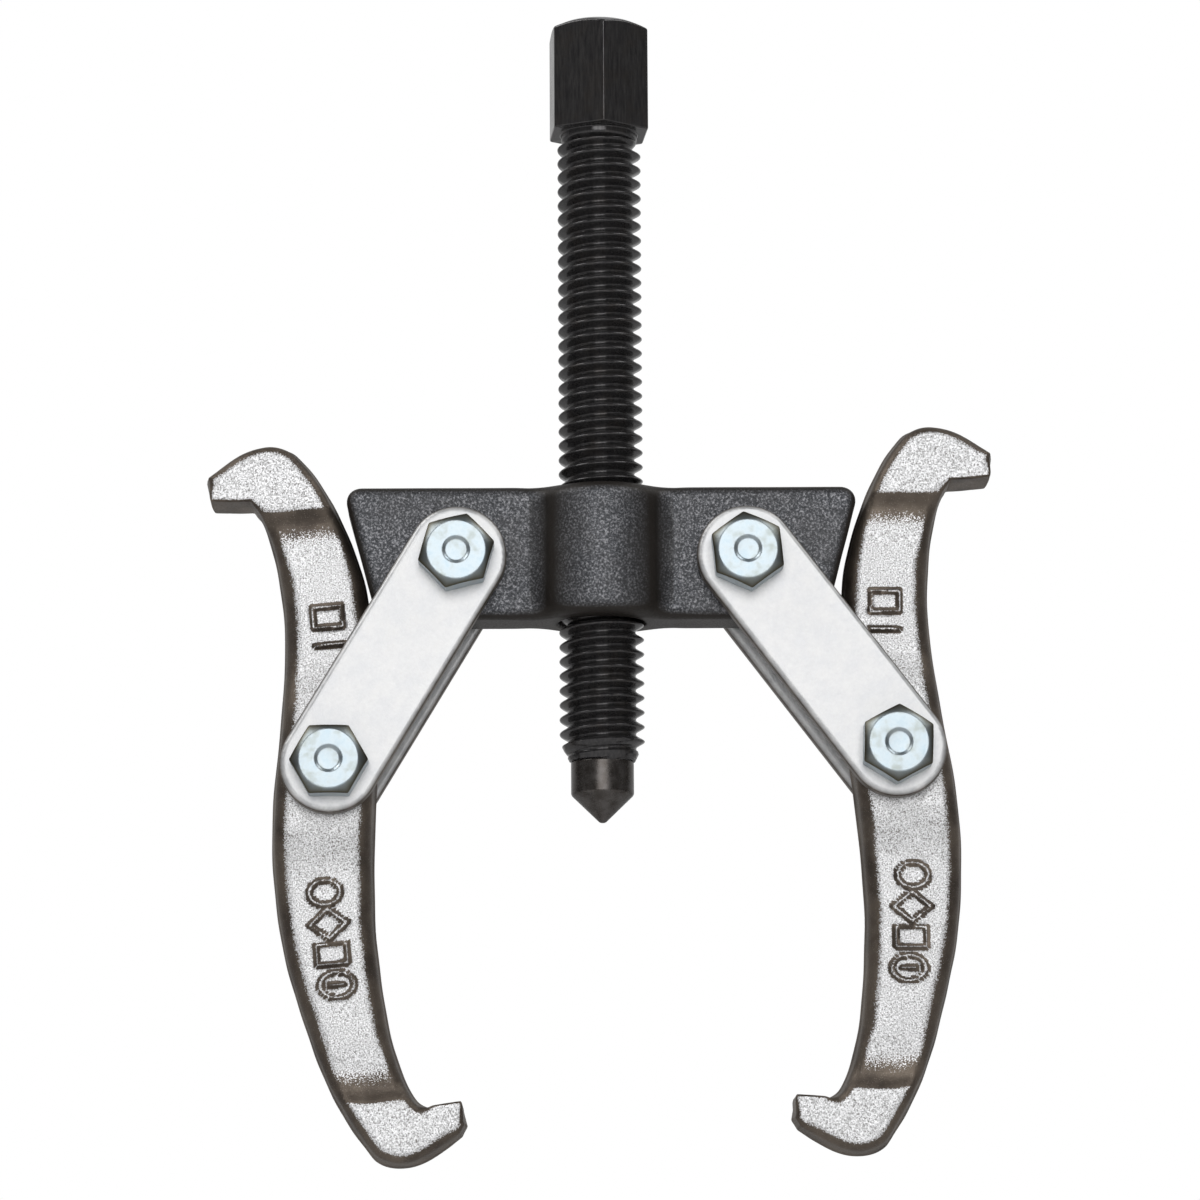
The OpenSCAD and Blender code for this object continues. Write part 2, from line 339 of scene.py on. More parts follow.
def maths(nodes, links, operation, first, second=0.0, third=0.0):
    """One sum on numbers, each a fixed one or another node's output."""
    node = nodes.new("ShaderNodeMath")
    node.operation = operation
    for socket, value in zip(node.inputs, (first, second, third)):
        if isinstance(value, bpy.types.NodeSocket):
            links.new(value, socket)
        else:
            socket.default_value = value
    return node.outputs["Value"]


def attribute(nodes, name):
    """A number kept at the mesh's points, such as facing, curve or chamfer."""
    node = nodes.new("ShaderNodeAttribute")
    node.attribute_name = name
    return node.outputs["Fac"]


def bump(nodes, links, height, depth_mm):
    """Normals that follow a fine relief depth_mm deep."""
    node = nodes.new("ShaderNodeBump")
    node.inputs["Strength"].default_value = 1
    node.inputs["Distance"].default_value = depth_mm * MM
    links.new(height, node.inputs["Height"])
    return node.outputs["Normal"]


def new_material(name, metallic, specular=0.5):
    material = bpy.data.materials.new(name)
    material.use_nodes = True
    nodes, links = material.node_tree.nodes, material.node_tree.links
    shader = nodes["Principled BSDF"]
    shader.inputs["Metallic"].default_value = metallic
    shader.inputs["Specular IOR Level"].default_value = specular
    return material, nodes, links, shader


def shot_blasted_steel():
    """Bright sparkling grain on the faces, brown-grey scale on the drafted sides."""
    material, nodes, links, shader = new_material("shot_blasted_steel", 0.85)
    pits = grain(nodes, links, 0.21, 3, 0.7).outputs["Fac"]
    specks = grain(nodes, links, 0.3, kind="ShaderNodeTexVoronoi")
    patches = grain(nodes, links, 5, 3).outputs["Fac"]
    ragged = maths(nodes, links, "MULTIPLY_ADD", pits, 0.36, attribute(nodes, "facing"))
    ragged = maths(nodes, links, "MULTIPLY_ADD", patches, 0.04, ragged)
    ragged = maths(nodes, links, "MULTIPLY", ragged, 0.5)
    bright = ramp(nodes, links, ragged, [(0.566, 0.0), (0.576, 1.0)])
    silver = ramp(nodes, links, pits, [(0.34, (0.22, 0.215, 0.21)), (0.46, (0.52, 0.52, 0.525)),
                                       (0.60, (0.84, 0.84, 0.85))])
    scale = ramp(nodes, links, patches, [(0.35, (0.088, 0.072, 0.060)),
                                         (0.65, (0.165, 0.136, 0.110))])
    scale = mix(nodes, links, ramp(nodes, links, specks.outputs["Distance"],
                                   [(0.05, 0.35), (0.25, 0.0)]), scale, (0.5, 0.45, 0.38))
    links.new(mix(nodes, links, bright, scale, silver), shader.inputs["Base Color"])
    links.new(ramp(nodes, links, pits, [(0.3, 0.55), (0.7, 0.36)]),
              shader.inputs["Roughness"])
    links.new(bump(nodes, links, pits, 0.05), shader.inputs["Normal"])
    return material


def black_forging():
    """Black oxide on a fine forged grain, with painted shade: dark brown on the sides and edges
    turned away from front and back, near black in the hollows.
    """
    material, nodes, links, shader = new_material("black_forging", 0.4)
    fine = grain(nodes, links, 0.3, 4, 0.7).outputs["Fac"]
    clouds = grain(nodes, links, 7, 4).outputs["Fac"]
    curve = attribute(nodes, "curve")
    face = ramp(nodes, links, fine, [(0.40, (0.028, 0.030, 0.034)),
                                     (0.52, (0.080, 0.084, 0.094)),
                                     (0.66, (0.36, 0.36, 0.38))])
    face = mix(nodes, links, ramp(nodes, links, clouds, [(0.4, 0.0), (0.7, 0.35)]),
               face, (0.075, 0.072, 0.072))
    # Painted shade: where a surface turns away from front and back it goes dark brown; faces
    # looking straight front or back keep the lighter grain.
    painted_light_by_facing = ramp(nodes, links, attribute(nodes, "facing"), [(0.72, 0.0), (0.99, 1.0)])
    face = mix(nodes, links, painted_light_by_facing, (0.022, 0.018, 0.015), face)
    # Painted shade: concave places are darkened to near black.
    painted_hollow_shade = maths(nodes, links, "MULTIPLY", curve, -1.0)
    painted_hollow_shade = ramp(nodes, links, painted_hollow_shade, [(0.1, 0.0), (0.6, 0.7)])
    links.new(mix(nodes, links, painted_hollow_shade, face, (0.008, 0.007, 0.006)),
              shader.inputs["Base Color"])
    links.new(ramp(nodes, links, fine, [(0.3, 0.55), (0.7, 0.38)]),
              shader.inputs["Roughness"])
    links.new(bump(nodes, links, fine, 0.05), shader.inputs["Normal"])
    return material


def black_screw():
    """Oiled black oxide: smooth, with faint smears and a few brown stains."""
    material, nodes, links, shader = new_material("black_screw", 0.6)
    smears = grain(nodes, links, 3, 4, 0.6).outputs["Fac"]
    streaks = grain(nodes, links, 0.35, 4, 0.7, upright=9).outputs["Fac"]
    oxide = ramp(nodes, links, streaks, [(0.35, (0.036, 0.035, 0.037)),
                                         (0.65, (0.074, 0.071, 0.071))])
    stained = ramp(nodes, links, smears, [(0.50, 0.0), (0.70, 0.5)])
    links.new(mix(nodes, links, stained, oxide, (0.055, 0.047, 0.041)),
              shader.inputs["Base Color"])
    links.new(ramp(nodes, links, smears, [(0.3, 0.13), (0.7, 0.22)]),
              shader.inputs["Roughness"])
    links.new(bump(nodes, links, streaks, 0.008), shader.inputs["Normal"])
    return material


def screw_tip():
    """Hardened and blackened, duller and browner than the screw."""
    material, nodes, links, shader = new_material("screw_tip", 0.7)
    cloud = grain(nodes, links, 1.5, 4, 0.6).outputs["Fac"]
    fine = grain(nodes, links, 0.2, 3, 0.7).outputs["Fac"]
    links.new(ramp(nodes, links, cloud, [(0.35, (0.055, 0.048, 0.043)),
                                         (0.65, (0.10, 0.092, 0.088))]),
              shader.inputs["Base Color"])
    links.new(ramp(nodes, links, cloud, [(0.3, 0.22), (0.7, 0.32)]),
              shader.inputs["Roughness"])
    links.new(bump(nodes, links, fine, 0.008), shader.inputs["Normal"])
    return material


def link_steel():
    """Dull bright plating, faintly mottled, with painted shade: dark brown where the stamped
    edge rolls over and turns away from front and back.
    """
    material, nodes, links, shader = new_material("link_steel", 0.55)
    mottle = grain(nodes, links, 2.2, 4, 0.6).outputs["Fac"]
    fine = grain(nodes, links, 0.25, 3, 0.7).outputs["Fac"]
    plate = ramp(nodes, links, mottle, [(0.35, (0.56, 0.565, 0.575)),
                                        (0.65, (0.75, 0.75, 0.75))])
    # Painted shade: edges that turn away from front and back are coloured dark brown.
    painted_edge_shade = ramp(nodes, links, attribute(nodes, "facing"), [(0.45, 1.0), (0.95, 0.0)])
    edge = ramp(nodes, links, mottle, [(0.4, (0.085, 0.070, 0.057)), (0.6, (0.17, 0.15, 0.13))])
    links.new(mix(nodes, links, painted_edge_shade, plate, edge), shader.inputs["Base Color"])
    links.new(ramp(nodes, links, mottle, [(0.3, 0.38), (0.7, 0.5)]),
              shader.inputs["Roughness"])
    links.new(bump(nodes, links, fine, 0.012), shader.inputs["Normal"])
    return material


def zinc_plate():
    """Bright zinc with a faint blue passivation; the hexagons' chamfers are coloured dark olive
    as painted shade.
    """
    material, nodes, links, shader = new_material("zinc_plate", 0.95)
    cloud = grain(nodes, links, 1.6, 4, 0.6).outputs["Fac"]
    fine = grain(nodes, links, 0.15, 3, 0.7).outputs["Fac"]
    plate = ramp(nodes, links, cloud, [(0.3, (0.32, 0.385, 0.425)), (0.5, (0.41, 0.465, 0.495)),
                                       (0.7, (0.37, 0.41, 0.40))])
    # Painted shade: the chamfers of the bolt heads are coloured dark olive.
    links.new(mix(nodes, links, attribute(nodes, "chamfer"), plate, (0.085, 0.078, 0.055)),
              shader.inputs["Base Color"])
    links.new(ramp(nodes, links, cloud, [(0.3, 0.34), (0.7, 0.44)]),
              shader.inputs["Roughness"])
    links.new(bump(nodes, links, fine, 0.004), shader.inputs["Normal"])
    return material


def nylon():
    """Blue nylon, slightly cloudy."""
    material, nodes, links, shader = new_material("nylon", 0.0)
    cloud = grain(nodes, links, 1.2, 3).outputs["Fac"]
    links.new(ramp(nodes, links, cloud, [(0.3, (0.03, 0.10, 0.30)), (0.7, (0.05, 0.16, 0.42))]),
              shader.inputs["Base Color"])
    links.new(ramp(nodes, links, cloud, [(0.3, 0.35), (0.7, 0.48)]),
              shader.inputs["Roughness"])
    links.new(bump(nodes, links, cloud, 0.02), shader.inputs["Normal"])
    return material


# ---------------------------------------------------------------- crossbar

BAR_END_SLOPE = math.radians(15)           # the ends lean in towards the bottom
WING_CORNER = 2.8                          # radius of a wing's upper corner


def crossbar_field(x, y, z):
    """The crossbar about its middle: two wings and a round boss with a bore."""
    across = np.abs(x)
    radial = np.hypot(x, y)
    end = ((across - BAR_HALF_LENGTH + WING_CORNER) * math.cos(BAR_END_SLOPE)
           - (z - BAR_HALF_HEIGHT + WING_CORNER) * math.sin(BAR_END_SLOPE) - WING_CORNER)
    front = round_max(z - BAR_HALF_HEIGHT, end, WING_CORNER)
    front = round_max(-z - BAR_HALF_HEIGHT, front, 2)
    plan = round_min(np.abs(y) - WING_HALF, radial - BOSS_RADIUS, 1.5)
    edge = np.interp(radial, [9, 13], [2.2, 1.5])
    body = round_max(plan, front, edge)
    body = body + 0.03 * (np.sin(x / 2.3 + z / 3.1) * np.sin(z / 1.9 - y / 2.7))
    mouth = THREAD_RADIUS + 0.08 + np.maximum(np.abs(z) - BAR_HALF_HEIGHT + 0.1, 0)
    body = round_max(body, mouth - radial, 0.25)
    arm_drop = BAR_LEVEL - ARM_PIVOT["right"][2]
    bore = BORE_RADIUS - np.hypot(across - ARM_PIVOT["right"][0], z + arm_drop)
    return round_max(body, bore, 0.3)


def make_crossbar(material):
    half = np.array([BAR_HALF_LENGTH, BOSS_RADIUS, BAR_HALF_HEIGHT])
    obj = sculpt("crossbar_detail", crossbar_field, -half, half, 0.35,
                 lambda points: points + [0, 0, BAR_LEVEL])
    place(obj, "crossbar", material)


# ---------------------------------------------------------------- jaws

# A jaw's outline in its own frame: the pivot is the origin, x points away from the
# screw and z points up. Each list is one smooth stretch, and they meet at corners.
OUTER_SIDE = [(8.4, 39.3), (6.6, 35.4), (5.3, 28), (5.1, 19), (6.6, 7.5), (8.6, -4),
              (9.4, -14), (8.8, -25), (6.6, -36), (3.4, -46.5), (-0.6, -54),
              (-2.6, -56.3), (-5.6, -57.1), (-9, -56.4), (-14.2, -53.6)]
LOWER_TIP = [(-15.1, -52.2), (-14.5, -48.8)]
INNER_SIDE = [(-9.7, -49.1), (-8, -47.9), (-6.3, -43.8), (-5.1, -38), (-4.4, -30),
              (-4.25, -22), (-5.1, -11), (-6.4, 0), (-7.2, 13), (-6.9, 25), (-5.3, 32.5),
              (-2.2, 40.5), (1, 45.5), (3, 47.1), (6, 47.7), (9.6, 46.8), (14.8, 43.6)]
UPPER_TIP = [(14.2, 39.8)]
SHAFT_HALF = 3.8                           # half thicknesses
HOOK_HALF = 4.5
HUB_HALF = box_mm("left_jaw")[1][1]
UPPER_PAD = 37.4                           # height at which the upper hook's pad starts
LOWER_PAD = -48                            # height at which the lower hook's pad starts
PAD_RAMP = 2.4                             # length of the ramp from a pad to the shaft
HOLLOW = 0.3                               # depth of the shaft's hollow next to a ramp
DRAFT = math.tan(math.radians(7))
PARTING_HEIGHT = 0.16                      # the trimmed bead round a jaw's middle plane
PARTING_HALF = 0.4
BEAD_HALF = 0.42                           # half width of a raised mark's line
BEAD_HEIGHT = 0.34
JAW_LOW = (-16, -HUB_HALF, -58)            # corners of the space a jaw is looked for in
JAW_HIGH = (16, HUB_HALF, 49)


def smooth_curve(knots, steps=8):
    """Points of a smooth curve through all the knots."""
    knots = np.array(knots, float)
    padded = np.vstack([knots[:1], knots, knots[-1:]])
    points = []
    for a, b, c, d in zip(padded, padded[1:], padded[2:], padded[3:]):
        for t in np.arange(steps) / steps:
            points.append((2 * b + (c - a) * t + (2 * a - 5 * b + 4 * c - d) * t * t
                           + (3 * b - a - 3 * c + d) * t ** 3) / 2)
    return np.array(points + [knots[-1]])


class OutlineDistance:
    """Signed distance to a closed flat outline, looked up in a fine table."""

    def __init__(self, outline, cell=0.2, margin=6):
        self.cell = cell
        self.low = outline.min(0) - margin
        size = np.ceil((outline.max(0) + margin - self.low) / cell).astype(int) + 2
        x = self.low[0] + cell * np.arange(size[0])
        z = self.low[1] + cell * np.arange(size[1])
        x, z = np.meshgrid(x, z, indexing="ij")
        nearest = np.full(x.shape, 1e9)
        inside = np.zeros(x.shape, bool)
        for a, b in zip(outline, np.roll(outline, -1, 0)):
            along = b - a
            t = ((x - a[0]) * along[0] + (z - a[1]) * along[1]) / (along @ along)
            t = np.clip(t, 0, 1)
            gap = np.hypot(x - a[0] - t * along[0], z - a[1] - t * along[1])
            nearest = np.minimum(nearest, gap)
            if a[1] != b[1]:
                spans = (a[1] > z) != (b[1] > z)
                inside ^= spans & (x < a[0] + (z - a[1]) * along[0] / along[1])
        self.table = np.where(inside, -nearest, nearest)

    def __call__(self, x, z):
        u = np.clip((x - self.low[0]) / self.cell, 0, self.table.shape[0] - 1.001)
        v = np.clip((z - self.low[1]) / self.cell, 0, self.table.shape[1] - 1.001)
        i, j = u.astype(int), v.astype(int)
        u, v = u - i, v - j
        table = self.table
        return ((1 - u) * (1 - v) * table[i, j] + u * (1 - v) * table[i + 1, j]
                + (1 - u) * v * table[i, j + 1] + u * v * table[i + 1, j + 1])


jaw_outline = OutlineDistance(np.vstack([smooth_curve(OUTER_SIDE), LOWER_TIP,
                                         smooth_curve(INNER_SIDE), UPPER_TIP]))


def ring_line(x, z, radius):
    """Distance to a circle's line; the next three measure other plain outlines."""
    return np.abs(np.hypot(x, z) - radius)


def box_line(x, z, half_x, half_z):
    outside = np.hypot(np.maximum(np.abs(x) - half_x, 0), np.maximum(np.abs(z) - half_z, 0))
    return np.abs(outside + np.minimum(np.maximum(np.abs(x) - half_x, np.abs(z) - half_z), 0))


def diamond_line(x, z, half):
    return np.abs(np.abs(x) + np.abs(z) - half) / math.sqrt(2)


def bar_line(x, z, half_x):
    return np.hypot(np.maximum(np.abs(x) - half_x, 0), z)


def mark_distance(x, z):
    """Distance to the nearest line of the plain raised marks on a jaw's shaft."""
    lines = [ring_line((x - 2.3) * 0.8, z + 17.8, 1.75),
             diamond_line((x - 2.15) * 0.8, z + 22.3, 2.1),
             box_line(x - 1.95, z + 26.6, 2.1, 1.4),
             ring_line((x - 1.55) * 0.75, z + 31.0, 1.8),
             bar_line(x - 1.55, z + 31.0, 1.0),
             box_line(x + 1.2, z - 21.6, 2.1, 1.5),
             bar_line(x + 1.2, z - 17.6, 2.1)]
    return np.minimum.reduce(lines)


def face_distance(y, past, swell):
    """Distance to a jaw's face: full height at a pad's line, a hollow PAD_RAMP further
    on, then the shaft, which swells to the hub between the links.
    past is how far a point lies past the pad's line."""
    left = np.maximum(1 - past / PAD_RAMP, 0)
    level = SHAFT_HALF + (HUB_HALF - SHAFT_HALF) * swell
    level = level - HOLLOW * np.exp(-((past - PAD_RAMP) / 4) ** 2)
    rise = HOOK_HALF - SHAFT_HALF + HOLLOW
    steepness = 2 * rise / PAD_RAMP * np.minimum(left, 1.5)
    return (y - level - rise * left ** 2) / np.sqrt(1 + steepness ** 2)


def past_pad(x, z):
    """How far a point lies past the nearer pad's line, towards the shaft."""
    return np.minimum(z - LOWER_PAD - 0.012 * (x + 3) ** 2, UPPER_PAD - z)


def ramp_scale(x, y, z):
    """How much of the forging's scale the blasting has left on and beside the ramps."""
    past = past_pad(x, z)
    return 0.16 * np.clip((PAD_RAMP + 3 - past) / 4, 0, 1) * np.clip(past / 0.3, 0, 1)


def gripping(x, z):
    """1 at the hooks' gripping faces, which are cut square and crisp."""
    below = np.clip((x - 6) / 2, 0, 1) * np.clip((42.5 - z) / 2, 0, 1) * (z > 30)
    above = np.clip((-8.5 - x) / 2, 0, 1) * np.clip((z + 51.5) / 2, 0, 1) * (z < -30)
    return np.maximum(below, above)


def jaw_field(x, y, z):
    """A jaw in its own frame: drafted sides, then its faces with their marks, then
    the edges between them and the bore."""
    depth = np.abs(y)
    rough = 1 - gripping(x, z)
    on_shaft = np.clip(np.minimum(UPPER_PAD - 4 - z, z - LOWER_PAD - 4) / 6, 0, 1)
    side = (jaw_outline(x, z) + DRAFT * depth * rough) / math.hypot(1, DRAFT)
    off_end = np.clip((14.5 - np.abs(x)) / 2, 0, 1)
    side = side - PARTING_HEIGHT * rough * off_end * np.exp(-(y / PARTING_HALF) ** 2)
    side = side + 0.05 * np.sin(z / 2.1 + x) * np.sin(y / 1.7 + z / 3.7)
    near_hub = np.clip((16 - np.abs(z)) / 9, 0, 1)
    swell = near_hub ** 2 * (3 - 2 * near_hub)
    face = face_distance(depth, past_pad(x, z), swell)
    faces = np.where(swell > 0, face, round_max(depth - HOOK_HALF, face, 0.5))
    bead = np.clip(1 - (mark_distance(x, z) / BEAD_HALF) ** 2, 0, 1)
    faces = faces - BEAD_HEIGHT * bead * on_shaft
    faces = faces + 0.035 * np.sin(x / 1.6 + z / 2.9) * np.sin(z / 1.3)
    edge = 0.4 + 0.9 * rough * np.clip((15.5 - np.abs(x)) / 3, 0, 1) + 0.8 * on_shaft
    body = round_max(side, faces, edge)
    return round_max(body, BORE_RADIUS - np.hypot(x, z), 0.3)


def lean_out(points, side):
    """Moves a jaw's own frame to its place on one side of the puller."""
    lean = math.radians(JAW_LEAN[side])
    x, y, z = np.asarray(points).T
    across = x * math.cos(lean) + z * math.sin(lean)
    up = z * math.cos(lean) - x * math.sin(lean)
    return np.stack([SIDES[side] * across, y, up], 1) + JAW_PIVOT[side]


def make_jaw(side, material):
    node = f"{side}_jaw"
    obj = sculpt(f"{node}_detail", jaw_field, JAW_LOW, JAW_HIGH, 0.33,
                 lambda points: lean_out(points, side), ramp_scale)
    place(obj, node, material)


# ---------------------------------------------------------------- links

def link_field(x, y, z):
    """A link plate about the middle of its upper bore, its lower one straight below."""
    below = np.clip(z, -LINK_PITCH, 0)
    outline = np.hypot(x, z - below) - LINK_RADIUS
    plate = round_max(outline, np.abs(y) - LINK_HALF, 0.75)
    bores = BORE_RADIUS - np.hypot(x, np.minimum(np.abs(z), np.abs(z + LINK_PITCH)))
    return round_max(plate, bores, 0.25)


def make_link(side, face, material):
    """face is -1 for the front plate and 1 for the rear one."""
    node = f"{side}_{'front' if face < 0 else 'rear'}_link"
    reach = JAW_PIVOT[side] - ARM_PIVOT[side]
    lean = math.atan2(reach[0], -reach[2])
    middle = face * LINK_MIDDLE

    def move(points):
        x, y, z = np.asarray(points).T
        across = x * math.cos(lean) - z * math.sin(lean)
        up = x * math.sin(lean) + z * math.cos(lean)
        return np.stack([across, y + middle, up], 1) + ARM_PIVOT[side]

    low = (-LINK_RADIUS, -LINK_HALF, -LINK_PITCH - LINK_RADIUS)
    high = (LINK_RADIUS, LINK_HALF, LINK_RADIUS)
    obj = sculpt(f"{node}_detail", link_field, low, high, 0.3, move)
    place(obj, node, material)


# ---------------------------------------------------------------- bolts and nuts

HEAD_HEIGHT = 4
NUT_HEIGHT = 6
INSERT_HEIGHT = 1.6
INSERT_RADIUS = 4
BOLT_PAST_NUT = 0.9
BOLT_LENGTH = HEAD_HEIGHT + 2 * LINK_OUTER + NUT_HEIGHT + BOLT_PAST_NUT
BOLT_END_CHAMFER = 0.6
DIMPLE_RADIUS = 1.95                       # the hollow in a bolt head's face, at its rim
DIMPLE_FLOOR = 1.55                        # radius of its flat floor
DIMPLE_DEPTH = 0.3
FACE_RADIUS = 4.2                          # the flat face inside a hexagon's chamfer
HEX_CORNER = BOLT_FLATS / 2 / math.cos(math.radians(30))


def pin_pivot(pin):
    """The middle of a bolt's bores; pin is a side and what the bolt holds."""
    side, where = pin.split("_")
    return ARM_PIVOT[side] if where == "crossbar" else JAW_PIVOT[side]


def chamfer_mark(points):
    """Which points lie on the chamfer of a bolt's head, whose face is at height 0; this marks
    where the painted shade goes.
    """
    out = np.hypot(points[:, 0], points[:, 1]) - FACE_RADIUS
    chamfer = out / (HEX_CORNER - FACE_RADIUS)
    return {"chamfer": np.clip(out / 0.3, 0, 1) * (points[:, 2] < chamfer + 0.08)}


def make_bolt(pin, material):
    node = f"{pin}_bolt"
    angles, flat = hexagon(BOLT_FLATS)
    chamfer = (flat - FACE_RADIUS) / (HEX_CORNER - FACE_RADIUS)
    profile = [(0, DIMPLE_DEPTH), (DIMPLE_FLOOR, DIMPLE_DEPTH), (DIMPLE_RADIUS, 0),
               (FACE_RADIUS, 0), (flat, chamfer), (flat, HEAD_HEIGHT),
               (BOLT_RADIUS, HEAD_HEIGHT), (BOLT_RADIUS, BOLT_LENGTH - BOLT_END_CHAMFER),
               (BOLT_RADIUS - BOLT_END_CHAMFER, BOLT_LENGTH), (0, BOLT_LENGTH)]
    points, faces = revolve(profile, angles - BOLT_TURN[pin], 0.16)
    start = pin_pivot(pin) - [0, LINK_OUTER + HEAD_HEIGHT, 0]
    obj = as_object(f"{node}_detail", along_y(points) + start, faces, chamfer_mark(points))
    place(crisp(obj), node, material)


def make_nut(pin, material):
    node = f"{pin}_nut"
    angles, flat = hexagon(BOLT_FLATS)
    body = NUT_HEIGHT - INSERT_HEIGHT
    lower = (flat - FACE_RADIUS) * 0.55
    upper = body - (flat - FACE_RADIUS - 0.2) * 0.55
    profile = [(BORE_RADIUS, 0), (FACE_RADIUS, 0), (flat, lower), (flat, upper),
               (FACE_RADIUS + 0.3, body), (FACE_RADIUS + 0.3, NUT_HEIGHT - 0.3),
               (FACE_RADIUS, NUT_HEIGHT), (INSERT_RADIUS, NUT_HEIGHT),
               (INSERT_RADIUS, body), (BORE_RADIUS, body)]
    points, faces = revolve(profile, angles - NUT_TURN[pin], 0.15, closed=True)
    start = pin_pivot(pin) + [0, LINK_OUTER, 0]
    obj = as_object(f"{node}_detail", along_y(points) + start, faces)
    place(crisp(obj), node, material)


def make_insert(pin, material):
    node = f"{pin}_insert"
    low = NUT_HEIGHT - INSERT_HEIGHT
    profile = [(BORE_RADIUS, low), (INSERT_RADIUS, low), (INSERT_RADIUS, NUT_HEIGHT),
               (BORE_RADIUS, NUT_HEIGHT)]
    points, faces = revolve(profile, np.arange(0, 360, 5), 0.25, closed=True)
    start = pin_pivot(pin) + [0, LINK_OUTER, 0]
    obj = as_object(f"{node}_detail", along_y(points) + start, faces)
    place(obj, node, material)


# ---------------------------------------------------------------- screw

THREAD_START = DOG_TOP + 0.05 - THREAD_PITCH
THREAD_START_ANGLE = 240                   # degrees from +X, where the helix begins
LEAD_RADIUS = 4.7                          # the cone that trims the first threads
LEAD_SLOPE = 0.5
RUN_UP = 1.13                              # turns over which it fades out below the head
CORE_RADIUS = ROOT_RADIUS - 0.04
NECK_RADIUS = 5.6
CROWN_WIDTH = 2.2                          # the head's upper chamfer, measured inwards
CROWN_DROP = 0.25                          # how far its rim lies below the very top


def thread_section(steps=4):
    """(share of a turn, radius) over one turn of the thread, crest first."""
    crest = 1 / 16
    flank = crest + (THREAD_RADIUS - ROOT_RADIUS) * math.tan(math.radians(30)) / THREAD_PITCH
    corners = [(-crest, THREAD_RADIUS), (crest, THREAD_RADIUS), (flank, ROOT_RADIUS),
               (1 - flank, ROOT_RADIUS)]
    ahead = corners + [(corners[0][0] + 1, corners[0][1]), (corners[1][0] + 1, corners[1][1])]
    rows = [np.array([[share * THREAD_PITCH, radius]]) for share, radius in ahead]
    rows = np.array(soften(rows, 0.3, steps=steps))[1:-1, 0]
    share, radius = rows[:, 0] / THREAD_PITCH, rows[:, 1]
    order = np.argsort(share % 1)
    turn = (share % 1)[order], radius[order]
    keep = np.concatenate([[True], np.diff(turn[0]) > 1e-4])
    return turn[0][keep], turn[1][keep]


def thread_surface(columns=96):
    """A closed shell whose rows of points follow the helix."""
    share, radius = thread_section()
    turns = math.ceil((HEAD_BOTTOM - THREAD_START) / THREAD_PITCH) - 1
    per_turn = len(share)
    along = np.concatenate([share + k for k in range(turns)] + [[turns]])
    radii = np.append(np.tile(radius, turns), radius[0])
    column = np.arange(columns)
    height = THREAD_START + THREAD_PITCH * (along[:, None] + column / columns)
    last = THREAD_START + THREAD_PITCH * (turns + 1)
    hidden = DOG_RADIUS - 0.2
    fade = np.clip((last - height) / (THREAD_PITCH * RUN_UP), 0, 1)
    spread = hidden + (radii[:, None] - hidden) * fade
    lead = np.where(height < DOG_TOP, hidden, LEAD_RADIUS + LEAD_SLOPE * (height - DOG_TOP))
    spread = np.minimum(spread, lead)
    angle = math.radians(THREAD_START_ANGLE) + 2 * math.pi * column / columns
    points = np.stack([spread * np.cos(angle), spread * np.sin(angle), height], -1)
    index = np.arange(points.shape[0] * columns).reshape(-1, columns)
    faces = []
    for i in range(len(along) - 1):
        for j in range(columns - 1):
            faces.append([index[i, j], index[i, j + 1], index[i + 1, j + 1], index[i + 1, j]])
        if i + 1 + per_turn < len(along):
            faces.append([index[i, -1], index[i + per_turn, 0], index[i + 1 + per_turn, 0],
                          index[i + 1, -1]])
    bottom = list(index[0]) + [index[k, 0] for k in range(per_turn, 0, -1)]
    top = list(index[-1]) + [index[-1 - k, -1] for k in range(1, per_turn + 1)]
    points = points.reshape(-1, 3).tolist()
    faces = [[int(k) for k in face] for face in faces]
    for loop, level, upwards in ((bottom, THREAD_START + THREAD_PITCH / 2, False),
                                 (top, last - THREAD_PITCH / 2, True)):
        centre = len(points)
        points.append([0, 0, level])
        for a, b in zip(loop, loop[1:] + loop[:1]):
            faces.append([centre, int(a), int(b)] if upwards else [centre, int(b), int(a)])
    return np.array(points), faces


def make_screw(material):
    angles, flat = hexagon(SCREW_HEAD_FLATS, 0.5)
    corner = SCREW_HEAD_FLATS / 2 / math.cos(math.radians(30))
    rim = corner - CROWN_WIDTH
    profile = [(0, DOG_TOP), (CORE_RADIUS - 0.15, DOG_TOP), (CORE_RADIUS, DOG_TOP + 0.2),
               (CORE_RADIUS, HEAD_BOTTOM - 1.6), (NECK_RADIUS, HEAD_BOTTOM - 0.9),
               (NECK_RADIUS, HEAD_BOTTOM), (flat, HEAD_BOTTOM),
               (flat, SCREW_TOP - (flat - rim) / 2 - CROWN_DROP),
               (rim, SCREW_TOP - CROWN_DROP), (2.5, SCREW_TOP - 0.03), (0, SCREW_TOP)]
    points, faces = revolve(profile, angles + SCREW_HEAD_TURN, 0.3)
    thread_points, thread_faces = thread_surface()
    offset = len(points)
    faces = faces + [[k + offset for k in face] for face in thread_faces]
    obj = as_object("forcing_screw_detail", np.vstack([points, thread_points]), faces)
    place(crisp(obj), "forcing_screw", material)


def make_screw_point(material):
    gap = DOG_TOP - 0.05
    stem_top = DOG_TOP + STEM_LENGTH
    profile = [(0, 0), (0.4, 0), (DOG_RADIUS, CONE_TOP), (DOG_RADIUS, gap),
               (STEM_RADIUS, gap), (STEM_RADIUS, stem_top), (0, stem_top)]
    points, faces = revolve(profile, np.arange(0, 360, 3.75), 0.3)
    obj = as_object("screw_point_detail", points, faces)
    place(crisp(obj), "screw_point", material)


# ---------------------------------------------------------------- camera, lights, floor

